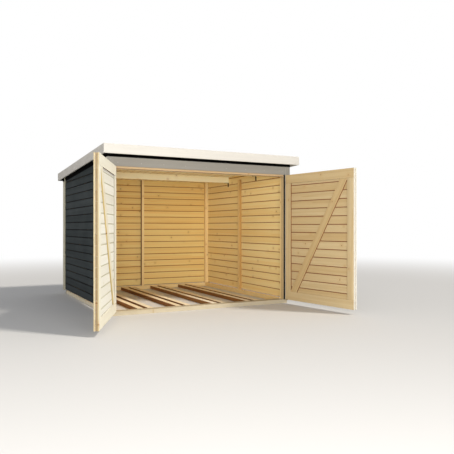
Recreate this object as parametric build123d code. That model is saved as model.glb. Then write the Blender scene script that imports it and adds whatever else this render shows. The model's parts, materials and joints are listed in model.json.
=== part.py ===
from build123d import *
import os
from math import radians, tan

# Timber frame on the ground, in millimetres. The origin is the middle of the front sill's underside.
frame_width = 2620.0  # outside of the sill frame, left to right
frame_depth = 2720.0  # outside of the sill frame, front to back
front_sill_depth = 120.0
front_sill_height = 55.0
side_sill_width = 60.0
side_sill_height = 67.0
sill_rebate_height = 22.0  # step along the outer top edge, under the wall boards
sill_rebate_depth = 12.0

# Wheel tracks: four pairs of battens, a bike's wheels stand between the two
track_count = 4
track_pitch = 535.0
batten_width = 80.0
batten_height = 55.0
wheel_gap = 58.0

# Posts and studs
post_size = 60.0
stud_face = 60.0
stud_depth = 45.0
side_stud_place = 1390.0  # middle of the side stud, from the front of the frame
side_stud_drop = 92.0  # top of the side stud, under the roof
back_stud_place = 22.0  # middle of the back stud, right of the shed's middle

# Profile boards of the walls and doors
board_thickness = 19.0
board_pitch = 111.0
outer_groove_width = 14.0
outer_groove_depth = 6.0
inner_groove_width = 12.0
inner_groove_depth = 5.0

# Door front: header, beam and corner boards
header_height = 187.0  # under the deck, at the front of the frame
beam_depth = 60.0
beam_drop = 28.0  # how far the beam shows below the header
trim_thickness = 19.0
corner_inset = 36.0  # corner board over the post, inwards from the frame's side
corner_side_width = 90.0
trim_bottom = 55.0

# Roof
roof_fall = 2.35  # degrees, towards the back
ceiling_front = 2052.0  # underside of the deck over the front of the frame
deck_thickness = 19.0
cover_thickness = 3.0
fascia_thickness = 19.0
fascia_height = 120.0
fascia_drop = 55.0  # fascia below the underside of the deck
front_overhang = 144.0
side_overhang = 115.0
back_overhang = 80.0

# Purlins, on steel angles
purlin_thickness = 45.0
purlin_height = 97.0
purlin_places = {"purlin_front": 888.0, "purlin_back": 1842.0}  # middle, from the front of the frame
bracket_leg = 70.0
bracket_width = 35.0
bracket_thickness = 2.5

# Door leaves
leaf_sill_gap = 8.0  # under the leaf, over the front sill
leaf_head_gap = 11.0
leaf_side_gap = 6.0
leaf_middle_gap = 6.0
leaf_back_gap = 6.0  # between the closed leaf and the sill
leaf_frame_thickness = 16.0
leaf_board_thickness = 25.0
leaf_board_setback = 14.0  # ends of the boards, inside the edges of the frames
top_rail = 122.0
bottom_rail = 122.0
stile_width = 110.0
brace_width = 110.0
leaf_joint_from_top = 157.0  # first board joint of the leaf
left_open = 113.7  # degrees from closed, as the part stands
right_open = 98.7

# Strap hinges
pin_inset = 30.0  # pin, inwards from the frame's side
pin_stand = 26.0  # pin, in front of the corner board
pin_radius = 6.0
pin_clearance = 0.3
eye_wall = 4.0
strap_thickness = 4.0
strap_width = 40.0
strap_tip_width = 26.0
strap_length = 420.0
strap_bend = 2.0  # overlap of the strap and its cranked end
plate_width = 58.0
plate_inset = 2.0  # hinge plate, from the corner board's edge
plate_height = 100.0
plate_thickness = 4.0
arm_height = 14.0
arm_radius = 7.0
pin_top = 3.0
eye_gap = 1.0

# Pull handle on the right leaf
handle_height = 960.0  # middle of the grip, above the ground
handle_length = 180.0
handle_radius = 7.0
handle_stand = 42.0
handle_foot_radius = 14.0
handle_foot_thickness = 5.0

front = -front_sill_depth / 2
back = front + frame_depth
side = frame_width / 2
roof_slope = tan(radians(roof_fall))
far = 4000.0
nodes = {}


def block(x0, x1, y0, y1, z0, z1):
    return Pos((x0 + x1) / 2, (y0 + y1) / 2, (z0 + z1) / 2) * Box(x1 - x0, y1 - y0, z1 - z0)


def ceiling(y):
    return ceiling_front - (y - front) * roof_slope


header_bottom = ceiling_front - header_height
roof_place = Pos(0, front, ceiling_front) * Rot(X=-roof_fall)
above_ceiling = roof_place * block(-far, far, -far, far, 0, far)


def under_roof(solid):
    return solid - above_ceiling


def prism(points, direction, length):
    return extrude(make_face(Polyline(*points, close=True)), amount=length, dir=direction)


# Section of a boarded wall as (across, height), where 0 is the inner face and the joints are V-grooves
def boarding(low, high, joint, thickness):
    first = joint - board_pitch * int((joint - low) / board_pitch)
    joints = [first + board_pitch * i for i in range(int((high - first) / board_pitch) + 1)]
    joints = [z for z in joints if low + outer_groove_width < z < high - outer_groove_width]
    outer, inner = [(thickness, low)], [(0, low)]
    for z in joints:
        half = outer_groove_width / 2
        outer += [(thickness, z - half), (thickness - outer_groove_depth, z), (thickness, z + half)]
        half = inner_groove_width / 2
        inner += [(0, z - half), (inner_groove_depth, z), (0, z + half)]
    return outer + [(thickness, high), (0, high)] + inner[::-1]


# Sills
nodes["sill_front"] = block(-side, side, front, front + front_sill_depth, 0, front_sill_height)
sill_start = front + front_sill_depth
rebate_low = side_sill_height - sill_rebate_height
for name, s in (("left", -1), ("right", 1)):
    sill = block(side - side_sill_width, side, sill_start, back - side_sill_width, 0, side_sill_height)
    sill -= block(side - sill_rebate_depth, far, sill_start, back, rebate_low, far)
    nodes[f"sill_{name}"] = sill if s > 0 else mirror(sill, about=Plane.YZ)
sill = block(-side, side, back - side_sill_width, back, 0, side_sill_height)
sill -= block(-far, far, back - sill_rebate_depth, far, rebate_low, far)
for s in (-1, 1):
    edge = sorted((s * (side - sill_rebate_depth), s * far))
    sill -= block(*edge, back - side_sill_width, far, rebate_low, far)
nodes["sill_back"] = sill

# Wheel tracks
for i in range(track_count):
    middle = (i - (track_count - 1) / 2) * track_pitch
    pair = [
        block(
            middle + s * (wheel_gap + batten_width) / 2 - batten_width / 2,
            middle + s * (wheel_gap + batten_width) / 2 + batten_width / 2,
            sill_start, back - side_sill_width, 0, batten_height,
        )
        for s in (-1, 1)
    ]
    nodes[f"wheel_track_{i + 1}"] = Compound(children=pair)

# Posts and studs
post_feet = {"front": (front, front_sill_height), "back": (back - post_size, side_sill_height)}
for row, (y, foot) in post_feet.items():
    post = under_roof(block(side - post_size, side, y, y + post_size, foot, far))
    nodes[f"{row}_right_post"] = post
    nodes[f"{row}_left_post"] = mirror(post, about=Plane.YZ)
jamb_stud = under_roof(
    block(side - stud_depth, side, front + post_size, front + post_size + stud_face, front_sill_height, far)
)
stud_y = front + side_stud_place
side_stud = block(
    side - stud_depth, side, stud_y - stud_face / 2, stud_y + stud_face / 2,
    side_sill_height, ceiling(stud_y) - side_stud_drop,
)
studs = Compound(children=[jamb_stud, side_stud])
nodes["right_wall_studs"] = studs
nodes["left_wall_studs"] = mirror(studs, about=Plane.YZ)
nodes["back_wall_stud"] = under_roof(
    block(
        back_stud_place - stud_depth / 2, back_stud_place + stud_depth / 2,
        back - stud_face, back, side_sill_height, far,
    )
)

# Boarded walls, up to the roof
wall_bottom = side_sill_height
section = boarding(wall_bottom, ceiling_front + board_pitch, wall_bottom + board_pitch, board_thickness)
wall = under_roof(prism([(side + x, front, z) for x, z in section], (0, 1, 0), frame_depth))
nodes["right_wall"] = wall
nodes["left_wall"] = mirror(wall, about=Plane.YZ)
wall_reach = side + board_thickness
nodes["back_wall"] = under_roof(
    prism([(-wall_reach, back + x, z) for x, z in section], (1, 0, 0), 2 * wall_reach)
)

# Front beam and header
beam_bottom = header_bottom - beam_drop
nodes["front_beam"] = under_roof(
    block(post_size - side, side - post_size, front, front + beam_depth, beam_bottom, far)
)
opening_side = side - corner_inset
nodes["header_board"] = under_roof(
    block(-opening_side, opening_side, front - trim_thickness, front, header_bottom, far)
)

# Corner trims: a board on the face and one on the side, nailed together
trim_reach = wall_reach + trim_thickness
back_face = back + board_thickness
for row, face_y, side_y in (
    ("front", (front - trim_thickness, front), (front, front + corner_side_width)),
    ("back", (back_face, back_face + trim_thickness), (back_face - corner_side_width, back_face)),
):
    trim = block(opening_side, trim_reach, *face_y, trim_bottom, far)
    trim += block(wall_reach, trim_reach, *side_y, trim_bottom, far)
    trim = under_roof(trim)
    nodes[f"corner_trim_{row}_right"] = trim
    nodes[f"corner_trim_{row}_left"] = mirror(trim, about=Plane.YZ)

# Purlins and their steel angles
brackets = []
for name, place in purlin_places.items():
    y = front + place
    low = ceiling(y - purlin_thickness / 2) - purlin_height
    nodes[name] = under_roof(block(-side, side, y - purlin_thickness / 2, y + purlin_thickness / 2, low, far))
    for s in (-1, 1):
        y0, y1 = y - bracket_width / 2, y + bracket_width / 2
        angle = block(side - bracket_leg, side, y0, y1, low - bracket_thickness, low)
        angle += block(side - bracket_thickness, side, y0, y1, low - bracket_leg, low)
        brackets.append(angle if s > 0 else mirror(angle, about=Plane.YZ))
nodes["purlin_brackets"] = Compound(children=brackets)

# Roof, made flat and then laid at its fall
roof_side = side + side_overhang
roof_front = -front_overhang
roof_back = frame_depth + back_overhang
deck_side = roof_side - fascia_thickness
deck_front, deck_back = roof_front + fascia_thickness, roof_back - fascia_thickness
fascia_z = (-fascia_drop, fascia_height - fascia_drop)
joint = deck_side - board_pitch
deck_section = [(x, deck_thickness - y) for y, x in boarding(-deck_side, deck_side, joint, deck_thickness)]
roof = {
    "roof_deck": prism([(x, deck_front, z) for x, z in deck_section], (0, 1, 0), deck_back - deck_front),
    "roof_cover": block(
        -deck_side, deck_side, deck_front, roof_back, deck_thickness, deck_thickness + cover_thickness
    ),
    "fascia_front": block(-roof_side, roof_side, roof_front, deck_front, *fascia_z),
    "fascia_back": block(-deck_side, deck_side, deck_back, roof_back, fascia_z[0], deck_thickness),
    "fascia_right": block(deck_side, roof_side, deck_front, roof_back, *fascia_z),
    "fascia_left": block(-roof_side, -deck_side, deck_front, roof_back, *fascia_z),
}
for name, piece in roof.items():
    nodes[name] = roof_place * piece

# Right door leaf, closed: three layers of boards, the outer frame in front
leaf_bottom = front_sill_height + leaf_sill_gap
leaf_top = header_bottom - leaf_head_gap
leaf_outer = opening_side - leaf_side_gap
leaf_free = leaf_middle_gap / 2
inner_back = front - leaf_back_gap
inner_front = inner_back - leaf_frame_thickness
boards_front = inner_front - leaf_board_thickness
leaf_face = boards_front - leaf_frame_thickness
rail_low, rail_high = leaf_bottom + bottom_rail, leaf_top - top_rail


def frame_rails(y0, y1):
    return [
        block(leaf_free, leaf_outer, y0, y1, leaf_bottom, rail_low),
        block(leaf_free, leaf_outer, y0, y1, rail_high, leaf_top),
    ]


def frame_stiles(y0, y1):
    return [
        block(leaf_free, leaf_free + stile_width, y0, y1, rail_low, rail_high),
        block(leaf_outer - stile_width, leaf_outer, y0, y1, rail_low, rail_high),
    ]


boards_free, boards_outer = leaf_free + leaf_board_setback, leaf_outer - leaf_board_setback
section = boarding(leaf_bottom, leaf_top, leaf_top - leaf_joint_from_top, leaf_board_thickness)
leaf_boards = prism(
    [(boards_free, inner_front - x, z) for x, z in section], (1, 0, 0), boards_outer - boards_free
)

# Diagonal brace from the foot of the hinge stile to the head of the free stile
panel = (leaf_free + stile_width, leaf_outer - stile_width, rail_low, rail_high)
foot = Vector(panel[1] - brace_width / 2, 0, panel[2])
head = Vector(panel[0] + brace_width / 2, 0, panel[3])
run = (head - foot).normalized()
across = Vector(-run.Z, 0, run.X) * (brace_width / 2)
ends = [foot - run * far + across, head + run * far + across, head + run * far - across, foot - run * far - across]
strip = prism([(p.X, inner_front, p.Z) for p in ends], (0, 1, 0), leaf_frame_thickness)
brace = strip & block(panel[0], panel[1], inner_front, inner_back, panel[2], panel[3])

# Strap hinges on the rails, cranked back round the leaf's edge to the pin
pin_x = side - pin_inset
pin_y = front - trim_thickness - pin_stand
eye_radius = pin_radius + pin_clearance + eye_wall
strap_heights = [leaf_bottom + bottom_rail / 2, leaf_top - top_rail / 2]


def strap(z):
    root = leaf_outer
    tip = root - strap_length
    half, tip_half = strap_width / 2, strap_tip_width / 2
    outline = [
        (root, leaf_face, z - half), (root, leaf_face, z + half),
        (tip, leaf_face, z + tip_half), (tip, leaf_face, z - tip_half),
    ]
    plate = prism(outline, (0, -1, 0), strap_thickness)
    plate += Pos(tip, leaf_face - strap_thickness / 2, z) * Rot(X=90) * Cylinder(tip_half, strap_thickness)
    crank = [
        (root - strap_thickness, leaf_face - strap_thickness),
        (root + strap_bend, leaf_face - strap_thickness),
        (pin_x + eye_radius - strap_thickness / 2, pin_y - eye_radius / 2),
        (pin_x, pin_y - eye_radius + strap_thickness / 2),
        (root + strap_bend / 2, leaf_face),
        (root - strap_thickness, leaf_face),
    ]
    shape = plate + prism([(x, y, z - half) for x, y in crank], (0, 0, 1), strap_width)
    shape += Pos(pin_x, pin_y, z) * Cylinder(eye_radius, strap_width)
    return shape - Pos(pin_x, pin_y, z) * Cylinder(pin_radius + pin_clearance, 2 * strap_width)


def pintle(z):
    low = z - strap_width / 2 - eye_gap - arm_height
    plate_start = opening_side + plate_inset
    plate = block(
        plate_start, plate_start + plate_width,
        front - trim_thickness - plate_thickness, front - trim_thickness,
        low + arm_height / 2 - plate_height / 2, low + arm_height / 2 + plate_height / 2,
    )
    arm = block(pin_x - arm_radius, pin_x + arm_radius, pin_y, front - trim_thickness, low, low + arm_height)
    arm += Pos(pin_x, pin_y, low + arm_height / 2) * Cylinder(arm_radius, arm_height)
    top = z + strap_width / 2 + pin_top
    pin = Pos(pin_x, pin_y, (low + top) / 2) * Cylinder(pin_radius, top - low)
    return plate + arm + pin


straps = Compound(children=[strap(z) for z in strap_heights])
pintles = Compound(children=[pintle(z) for z in strap_heights])
nodes["hinge_pintles_right"] = pintles
nodes["hinge_pintles_left"] = mirror(pintles, about=Plane.YZ)

# Pull handle on the free stile of the right leaf
handle_x = leaf_free + stile_width / 2
grip_y = leaf_face - handle_stand
grip_half = handle_length / 2
handle_path = FilletPolyline(
    (handle_x, leaf_face, handle_height - grip_half), (handle_x, grip_y, handle_height - grip_half),
    (handle_x, grip_y, handle_height + grip_half), (handle_x, leaf_face, handle_height + grip_half),
    radius=2 * handle_radius,
)
handle = sweep(Plane(origin=handle_path @ 0, z_dir=handle_path % 0) * Circle(handle_radius), path=handle_path)
for s in (-1, 1):
    foot_place = Pos(handle_x, leaf_face - handle_foot_thickness / 2, handle_height + s * grip_half)
    handle += foot_place * Rot(X=90) * Cylinder(handle_foot_radius, handle_foot_thickness)

leaf = {
    "boards": leaf_boards,
    "inner_rails": Compound(children=frame_rails(inner_front, inner_back)),
    "inner_stiles": Compound(children=frame_stiles(inner_front, inner_back)),
    "brace": brace,
    "outer_rails": Compound(children=frame_rails(leaf_face, boards_front)),
    "outer_stiles": Compound(children=frame_stiles(leaf_face, boards_front)),
    "strap_hinges": straps,
}
swing = Pos(pin_x, pin_y, 0) * Rot(Z=right_open) * Pos(-pin_x, -pin_y, 0)
for name, piece in leaf.items():
    nodes[f"right_door_{name}"] = swing * piece
nodes["right_door_handle"] = swing * handle
swing = Pos(-pin_x, pin_y, 0) * Rot(Z=-left_open) * Pos(pin_x, -pin_y, 0)
for name, piece in leaf.items():
    nodes[f"left_door_{name}"] = swing * mirror(piece, about=Plane.YZ)

os.makedirs("parts", exist_ok=True)
for name, shape in nodes.items():
    export_step(shape, f"parts/{name}.step")
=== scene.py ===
import json
import random
from math import atan2, degrees, pi, radians, sin

import bmesh
import bpy
from mathutils import Matrix, Vector

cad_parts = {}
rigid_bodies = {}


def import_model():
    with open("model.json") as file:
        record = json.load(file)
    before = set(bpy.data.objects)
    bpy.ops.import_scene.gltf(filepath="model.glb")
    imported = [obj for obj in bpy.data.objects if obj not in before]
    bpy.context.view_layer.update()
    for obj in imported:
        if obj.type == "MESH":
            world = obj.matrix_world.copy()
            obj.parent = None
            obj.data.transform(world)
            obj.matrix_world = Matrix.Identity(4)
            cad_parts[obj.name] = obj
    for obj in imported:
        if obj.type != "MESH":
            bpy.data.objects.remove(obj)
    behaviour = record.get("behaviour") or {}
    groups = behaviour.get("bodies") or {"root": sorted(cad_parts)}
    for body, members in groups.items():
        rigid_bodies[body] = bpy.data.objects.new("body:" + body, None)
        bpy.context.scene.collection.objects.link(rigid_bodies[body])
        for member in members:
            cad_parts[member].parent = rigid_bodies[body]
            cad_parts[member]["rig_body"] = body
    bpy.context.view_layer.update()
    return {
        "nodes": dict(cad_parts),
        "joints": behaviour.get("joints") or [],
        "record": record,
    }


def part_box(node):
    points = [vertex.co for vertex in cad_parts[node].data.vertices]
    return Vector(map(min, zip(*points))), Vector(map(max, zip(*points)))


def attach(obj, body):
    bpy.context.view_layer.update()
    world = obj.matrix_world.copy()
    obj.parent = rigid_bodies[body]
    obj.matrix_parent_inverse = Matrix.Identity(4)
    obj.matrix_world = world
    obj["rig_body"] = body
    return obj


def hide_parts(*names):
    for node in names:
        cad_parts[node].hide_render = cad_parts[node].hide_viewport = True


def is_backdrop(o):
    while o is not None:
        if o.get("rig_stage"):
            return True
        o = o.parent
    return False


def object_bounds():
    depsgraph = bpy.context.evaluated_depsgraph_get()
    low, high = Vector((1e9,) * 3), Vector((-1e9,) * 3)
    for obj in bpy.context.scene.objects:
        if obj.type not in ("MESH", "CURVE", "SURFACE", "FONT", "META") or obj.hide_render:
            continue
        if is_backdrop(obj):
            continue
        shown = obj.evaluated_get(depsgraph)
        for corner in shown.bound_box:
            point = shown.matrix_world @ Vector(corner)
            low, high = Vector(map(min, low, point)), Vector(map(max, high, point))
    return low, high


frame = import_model()
scene = bpy.context.scene
random.seed(11)
print("frame loaded,", len(frame["nodes"]), "CAD nodes")


def colour(code):  # sRGB hex to the linear colour that a shader takes
    parts = [int(code[i:i + 2], 16) / 255 for i in (0, 2, 4)]
    return [p / 12.92 if p <= 0.04045 else ((p + 0.055) / 1.055) ** 2.4 for p in parts] + [1.0]


# Node helpers
def add(tree, kind, inputs=None, **settings):
    node = tree.nodes.new("ShaderNode" + kind)
    for key, value in settings.items():
        setattr(node, key, value)
    for key, value in (inputs or {}).items():
        if isinstance(value, bpy.types.NodeSocket):
            tree.links.new(value, node.inputs[key])
        else:
            node.inputs[key].default_value = value
    return node


def calc(tree, operation, *values, clamp=False):
    node = add(tree, "Math", dict(enumerate(values)), operation=operation)
    node.use_clamp = clamp
    return node.outputs[0]


def times(tree, first, second):
    return calc(tree, "MULTIPLY", first, second)


def stretch(tree, vector, factors):
    return add(tree, "VectorMath", {0: vector, 1: factors}, operation="MULTIPLY").outputs[0]


def mix(tree, factor, first, second, blend="MIX"):
    node = add(tree, "Mix", data_type="RGBA", blend_type=blend)
    for index, value in ((0, factor), (6, first), (7, second)):
        if isinstance(value, bpy.types.NodeSocket):
            tree.links.new(value, node.inputs[index])
        else:
            node.inputs[index].default_value = value
    return node.outputs[2]


def spread(tree, value, low, high, toLow=0.0, toHigh=1.0):
    names = ("Value", "From Min", "From Max", "To Min", "To Max")
    inputs = dict(zip(names, (value, low, high, toLow, toHigh)))
    return add(tree, "MapRange", inputs, interpolation_type="SMOOTHSTEP").outputs[0]


def noise(tree, vector, scale, detail=2.0, roughness=0.5):
    inputs = {"Vector": vector, "Scale": scale, "Detail": detail, "Roughness": roughness}
    return add(tree, "TexNoise", inputs)


def objectPlace(tree):  # metres from the shed's own origin, as the part stands
    return add(tree, "TexCoord").outputs["Object"]


def newMaterial(name):
    material = bpy.data.materials.new(name)
    material.use_nodes = True
    return material, material.node_tree, material.node_tree.nodes["Principled BSDF"]


def bump(tree, shader, height, strength, distance):
    inputs = {"Height": height, "Strength": strength, "Distance": distance}
    tree.links.new(add(tree, "Bump", inputs).outputs[0], shader.inputs["Normal"])


# Spruce figure: year rings round a pith beside each piece, knots and fibres, along the piece's own grain
figure = {
    "ringWidth": 0.0042, "ringEdge": 2.2, "wander": 0.011, "wanderScale": (0.8, 5, 5),
    "streakScale": (0.55, 20, 20), "streakDetail": 3.0, "streakSpan": (0.3, 0.7),
    "fibreScale": (7, 380, 380), "fibreDetail": 1.0,
    "knotSpacing": 0.17, "knotShare": 0.28, "knotSmall": 0.003, "knotLarge": 0.0075, "knotCore": 0.62,
    "knotSwirl": 2.6, "haloReach": 0.015,
}


def spruceFigure():
    group = bpy.data.node_groups.new("spruceFigure", "ShaderNodeTree")
    for name in ("ring", "streak", "fibre", "knot", "halo", "tone", "joint"):
        group.interface.new_socket(name, in_out="OUTPUT", socket_type="NodeSocketFloat")
    place = add(group, "Attribute", attribute_name="grain").outputs["Vector"]
    tone = add(group, "Attribute", attribute_name="tone").outputs["Fac"]
    joint = add(group, "Attribute", attribute_name="joint").outputs["Fac"]

    spacing = figure["knotSpacing"]
    flat = stretch(group, place, (1 / spacing, 1 / spacing, 0))
    cells = add(group, "TexVoronoi", {"Vector": flat, "Scale": 1.0}, voronoi_dimensions="2D")
    away = times(group, cells.outputs["Distance"], spacing)
    chance = add(group, "SeparateColor", {"Color": cells.outputs["Color"]})
    kept = calc(group, "LESS_THAN", chance.outputs[0], figure["knotShare"])
    size = spread(group, chance.outputs[1], 0, 1, figure["knotSmall"], figure["knotLarge"])
    core = spread(group, calc(group, "DIVIDE", away, size), 1.0, figure["knotCore"])
    knot = times(group, core, kept)
    fading = calc(group, "EXPONENT", times(group, away, -1 / figure["haloReach"]))
    halo = times(group, fading, kept)

    wander = noise(group, stretch(group, place, figure["wanderScale"]), 1.0).outputs["Color"]
    wander = add(group, "VectorMath", {0: wander, 1: (0.5, 0.5, 0.5)}, operation="SUBTRACT").outputs[0]
    wander = stretch(group, wander, (0, figure["wander"], figure["wander"]))
    ringPlace = add(group, "VectorMath", {0: stretch(group, place, (0, 1, 1)), 1: wander}, operation="ADD")
    radius = add(group, "VectorMath", {0: ringPlace.outputs[0]}, operation="LENGTH").outputs["Value"]
    phase = calc(group, "DIVIDE", radius, figure["ringWidth"])
    phase = calc(group, "ADD", phase, times(group, halo, figure["knotSwirl"]))
    ring = calc(group, "POWER", calc(group, "FRACT", phase), figure["ringEdge"])

    streakPlace = stretch(group, place, figure["streakScale"])
    streak = noise(group, streakPlace, 1.0, figure["streakDetail"]).outputs["Fac"]
    fibrePlace = stretch(group, place, figure["fibreScale"])
    fibre = noise(group, fibrePlace, 1.0, figure["fibreDetail"]).outputs["Fac"]
    results = {
        "ring": ring, "streak": spread(group, streak, *figure["streakSpan"]), "fibre": fibre, "knot": knot,
        "halo": halo, "tone": tone, "joint": joint,
    }
    output = group.nodes.new("NodeGroupOutput")
    for name, socket in results.items():
        group.links.new(socket, output.inputs[name])
    return group


spruce = spruceFigure()


def figureIn(tree):
    node = tree.nodes.new("ShaderNodeGroup")
    node.node_tree = spruce
    return node.outputs


# Rain splash and dust, strongest at the ground; patches are a noise's scale, detail and roughness
splash = {"reach": 0.45, "patches": (9.0, 4.0, 0.6), "patchSpan": (0.25, 0.75)}


def splashed(tree, base, tint, share):
    place = objectPlace(tree)
    above = add(tree, "SeparateXYZ", {"Vector": place}).outputs["Z"]
    patches = noise(tree, place, *splash["patches"]).outputs["Fac"]
    patches = spread(tree, patches, *splash["patchSpan"])
    low = times(tree, spread(tree, above, splash["reach"], 0.0), patches)
    return mix(tree, times(tree, low, share), base, colour(tint))


# Bare planed spruce: its tints, how strongly each part of the figure shows, and the skin
bareWood = {
    "light": "decca3", "dark": "ccb083", "toneTint": "f6eee0", "haloTint": "bb8a50", "knotTint": "6f4a26",
    "jointTint": "84501f", "splash": "a08c6c", "splashShare": 0.0,
    "ring": 0.5, "streak": 0.5, "halo": 0.55, "knot": 0.9, "joint": 0.85,
    "fibreSpan": (0.2, 0.8), "roughness": (0.52, 0.72), "specular": 0.35,
    "chalky": 0.0,  # how far the wood scatters light back to the lamp, so that it looks flatter
    "ringRelief": 0.6, "relief": (0.35, 0.0005),
}


def timberFinish(name, **own):
    look = {**bareWood, **own}
    material, tree, shader = newMaterial(name)
    f = figureIn(tree)
    rings = times(tree, f["ring"], look["ring"])
    amount = calc(tree, "ADD", rings, times(tree, f["streak"], look["streak"]), clamp=True)
    base = mix(tree, amount, colour(look["light"]), colour(look["dark"]))
    base = mix(tree, f["tone"], base, colour(look["toneTint"]), "MULTIPLY")
    for part in ("halo", "knot", "joint"):
        base = mix(tree, times(tree, f[part], look[part]), base, colour(look[part + "Tint"]))
    base = splashed(tree, base, look["splash"], look["splashShare"])
    tree.links.new(base, shader.inputs["Base Color"])
    roughness = spread(tree, f["fibre"], *look["fibreSpan"], *look["roughness"])
    tree.links.new(roughness, shader.inputs["Roughness"])
    shader.inputs["Specular IOR Level"].default_value = look["specular"]
    shader.inputs["Diffuse Roughness"].default_value = look["chalky"]
    relief = calc(tree, "ADD", times(tree, f["ring"], look["ringRelief"]), f["fibre"])
    bump(tree, shader, calc(tree, "SUBTRACT", relief, f["knot"]), *look["relief"])
    return material


# Opaque paint on planed boards, with the grain showing through its skin
paintSkin = {
    "patches": (3.0, 4.0, 0.6), "patchSpan": (0.2, 0.8), "patchShare": 0.5, "streakShare": 0.5,
    "ringRelief": 0.5, "fibreRelief": 0.8, "knotRelief": 0.7, "relief": (0.25, 0.0005),
}


def paintFinish(name, paint, **own):
    look = {**paint, **own}
    material, tree, shader = newMaterial(name)
    f = figureIn(tree)
    patches = noise(tree, objectPlace(tree), *paintSkin["patches"]).outputs["Fac"]
    streaks = times(tree, f["streak"], paintSkin["streakShare"])
    amount = calc(tree, "ADD", streaks, times(tree, patches, paintSkin["patchShare"]))
    base = mix(tree, amount, colour(look["light"]), colour(look["dark"]))
    base = mix(tree, f["tone"], base, colour(look["toneTint"]), "MULTIPLY")
    base = mix(tree, times(tree, f["knot"], look["knot"]), base, colour(look["knotTint"]))
    base = mix(tree, f["joint"], base, colour(look["jointTint"]))
    base = splashed(tree, base, look["splash"], look["splashShare"])
    tree.links.new(base, shader.inputs["Base Color"])
    roughness = spread(tree, patches, *paintSkin["patchSpan"], *look["roughness"])
    tree.links.new(roughness, shader.inputs["Roughness"])
    shader.inputs["Specular IOR Level"].default_value = look["specular"]
    relief = times(tree, f["ring"], paintSkin["ringRelief"])
    relief = calc(tree, "ADD", relief, times(tree, f["fibre"], paintSkin["fibreRelief"]))
    relief = calc(tree, "ADD", relief, times(tree, f["knot"], paintSkin["knotRelief"]))
    bump(tree, shader, relief, *paintSkin["relief"])
    return material


# Powder-coated or bright steel, and a near-black finish for painted shade
steelSkin = {
    "grain": (900.0, 2.0), "rubbing": (45.0, 5.0, 0.65), "rubbedSpan": (0.52, 0.75),
    "sheenSpan": (0.3, 0.7), "relief": (0.2, 0.0003),
}


def steelFinish(name, base, rubbed, roughness, metallic=0.0, specular=0.5):
    material, tree, shader = newMaterial(name)
    place = objectPlace(tree)
    grain = noise(tree, place, *steelSkin["grain"]).outputs["Fac"]
    rubbing = noise(tree, place, *steelSkin["rubbing"]).outputs["Fac"]
    tint = mix(tree, spread(tree, rubbing, *steelSkin["rubbedSpan"]), colour(base), colour(rubbed))
    tree.links.new(tint, shader.inputs["Base Color"])
    sheen = spread(tree, rubbing, *steelSkin["sheenSpan"], *roughness)
    tree.links.new(sheen, shader.inputs["Roughness"])
    shader.inputs["Metallic"].default_value = metallic
    shader.inputs["Specular IOR Level"].default_value = specular
    bump(tree, shader, grain, *steelSkin["relief"])
    return material


# Bitumen felt with a mineral face
feltSkin = {
    "dark": "3a3c3f", "light": "7b7d80", "dust": "636260", "grainScale": 420.0, "grainSpan": (0.2, 0.95),
    "patches": (2.2, 5.0, 0.62), "dustSpan": (0.4, 0.72), "roughness": 0.93, "relief": (0.6, 0.001),
}


def feltFinish(name):
    material, tree, shader = newMaterial(name)
    place = objectPlace(tree)
    grains = add(tree, "TexVoronoi", {"Vector": place, "Scale": feltSkin["grainScale"]}).outputs
    patches = noise(tree, place, *feltSkin["patches"]).outputs["Fac"]
    speck = add(tree, "SeparateColor", {"Color": grains["Color"]}).outputs[0]
    speck = spread(tree, speck, *feltSkin["grainSpan"])
    base = mix(tree, speck, colour(feltSkin["dark"]), colour(feltSkin["light"]))
    base = mix(tree, spread(tree, patches, *feltSkin["dustSpan"]), base, colour(feltSkin["dust"]))
    tree.links.new(base, shader.inputs["Base Color"])
    shader.inputs["Roughness"].default_value = feltSkin["roughness"]
    bump(tree, shader, grains["Distance"], *feltSkin["relief"])
    return material


# Woods: the walls and the frame, then the leaves, then what lies on the ground or in shade. Many are
# lighter or darker copies of one spruce, with light or shade painted in
insideWood = timberFinish("insideSpruce", light="f3dc95", dark="edc273", jointTint="96400e")
# The right wall's inside: a lighter copy of the inside wood, painted light where the lamps fall on that
# wall
rightWallLitWood = timberFinish("rightWallLitSpruce", light="fdebb2", dark="f7d890", jointTint="943f10")
frameWood = timberFinish("frameSpruce", light="f8e2ac", dark="efcd8b")
# The beam: a darker copy of the frame wood, painted shade behind the header
beamShadeWood = timberFinish("beamShadeSpruce", light="cbb089", dark="b8966a")
# Deck and purlins: paler copies of the frame wood, painted light under the roof
deckLitWood = timberFinish("deckLitSpruce", light="fff4d4", dark="f9e8c0", jointTint="d8b47e")
purlinLitWood = timberFinish("purlinLitSpruce", light="fff9d8", dark="fcecba")
# Fronts of the wall studs: a darker copy of the frame wood, painted shade
studShadeWood = timberFinish("studShadeSpruce", light="c9a468", dark="b48c50")
doorWood = timberFinish("doorSpruce", light="d4c096", dark="c2a677", jointTint="7e401a")
# Inside of the left leaf: paler copies of the door wood, painted light where the sun falls on it
sunlitDoorWood = timberFinish(
    "sunlitDoorSpruce", light="cfcdc3", dark="c7c3b7", toneTint="f7f6f2", haloTint="c0b597",
    knotTint="aa966c", jointTint="9f9a7c", chalky=1.0)
sunlitFrameWood = timberFinish("sunlitFrameSpruce", light="cdcabc", dark="c6c1af", chalky=1.0)
# Side of the left brace: a darker copy, painted shade
braceShadeWood = timberFinish("leftBraceShadeSpruce", light="d4c088", dark="c6b074")
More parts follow.
